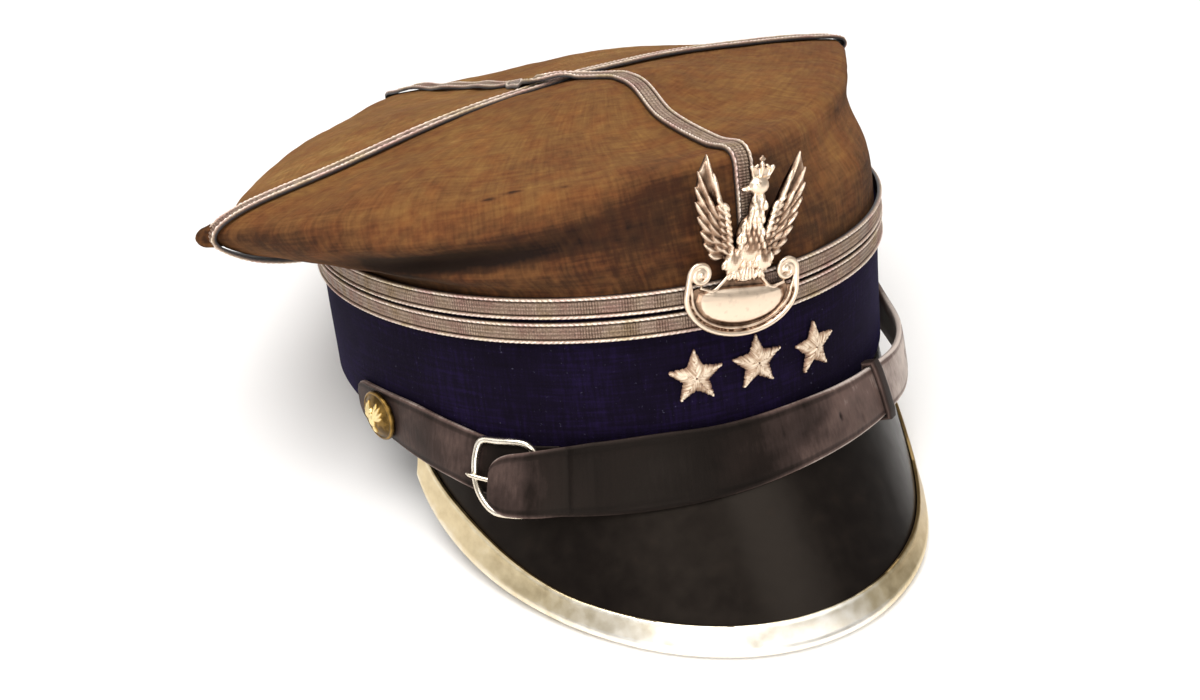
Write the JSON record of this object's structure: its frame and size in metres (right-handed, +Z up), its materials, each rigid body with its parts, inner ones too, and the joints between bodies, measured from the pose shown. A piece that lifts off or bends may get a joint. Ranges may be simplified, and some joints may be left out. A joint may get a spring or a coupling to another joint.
{
  "type": "military cap",
  "caption": "Four-cornered soft military cap with a navy band, silver braid, an eagle badge, embroidered stars, a buckled chin strap and a rimmed peak.",
  "frame": {"origin": "on the table under the middle of the cap's box, the cap resting on the rim of its peak and the back of its band", "axes": "+Z up, front of the cap towards -Y, wearer's left +X"},
  "size_m": [0.234, 0.2934, 0.1291],
  "materials": {
    "crown_wool": "worn khaki-brown wool cloth",
    "navy_cloth": "dark navy wool cloth",
    "silver_lace": "tarnished woven silver lace",
    "patent_leather": "black patent leather, glossy",
    "strap_leather": "worn dark brown leather",
    "brass": "pale worn brass",
    "nickel": "worn nickel plate",
    "cast_silver": "cast silvered metal, warm patina in the hollows",
    "embroidery": "silver thread embroidery"
  },
  "bodies": {
    "root": {"band": "navy_cloth", "band_braid_lower": "silver_lace", "band_braid_upper": "silver_lace", "crown_front_left": "crown_wool", "crown_back_left": "crown_wool", "crown_back_right": "crown_wool", "crown_front_right": "crown_wool", "crown_braid_left_right": "silver_lace", "crown_braid_front_back": "silver_lace", "peak": "patent_leather", "peak_rim": "brass", "strap_short": "strap_leather", "strap_long": "strap_leather", "buckle_frame": "nickel", "buckle_prong": "nickel", "strap_keeper": "strap_leather", "button_right": "brass", "button_left": "brass", "star_1": "embroidery", "star_2": "embroidery", "star_3": "embroidery", "badge": "cast_silver"}
  },
  "joints": []
}
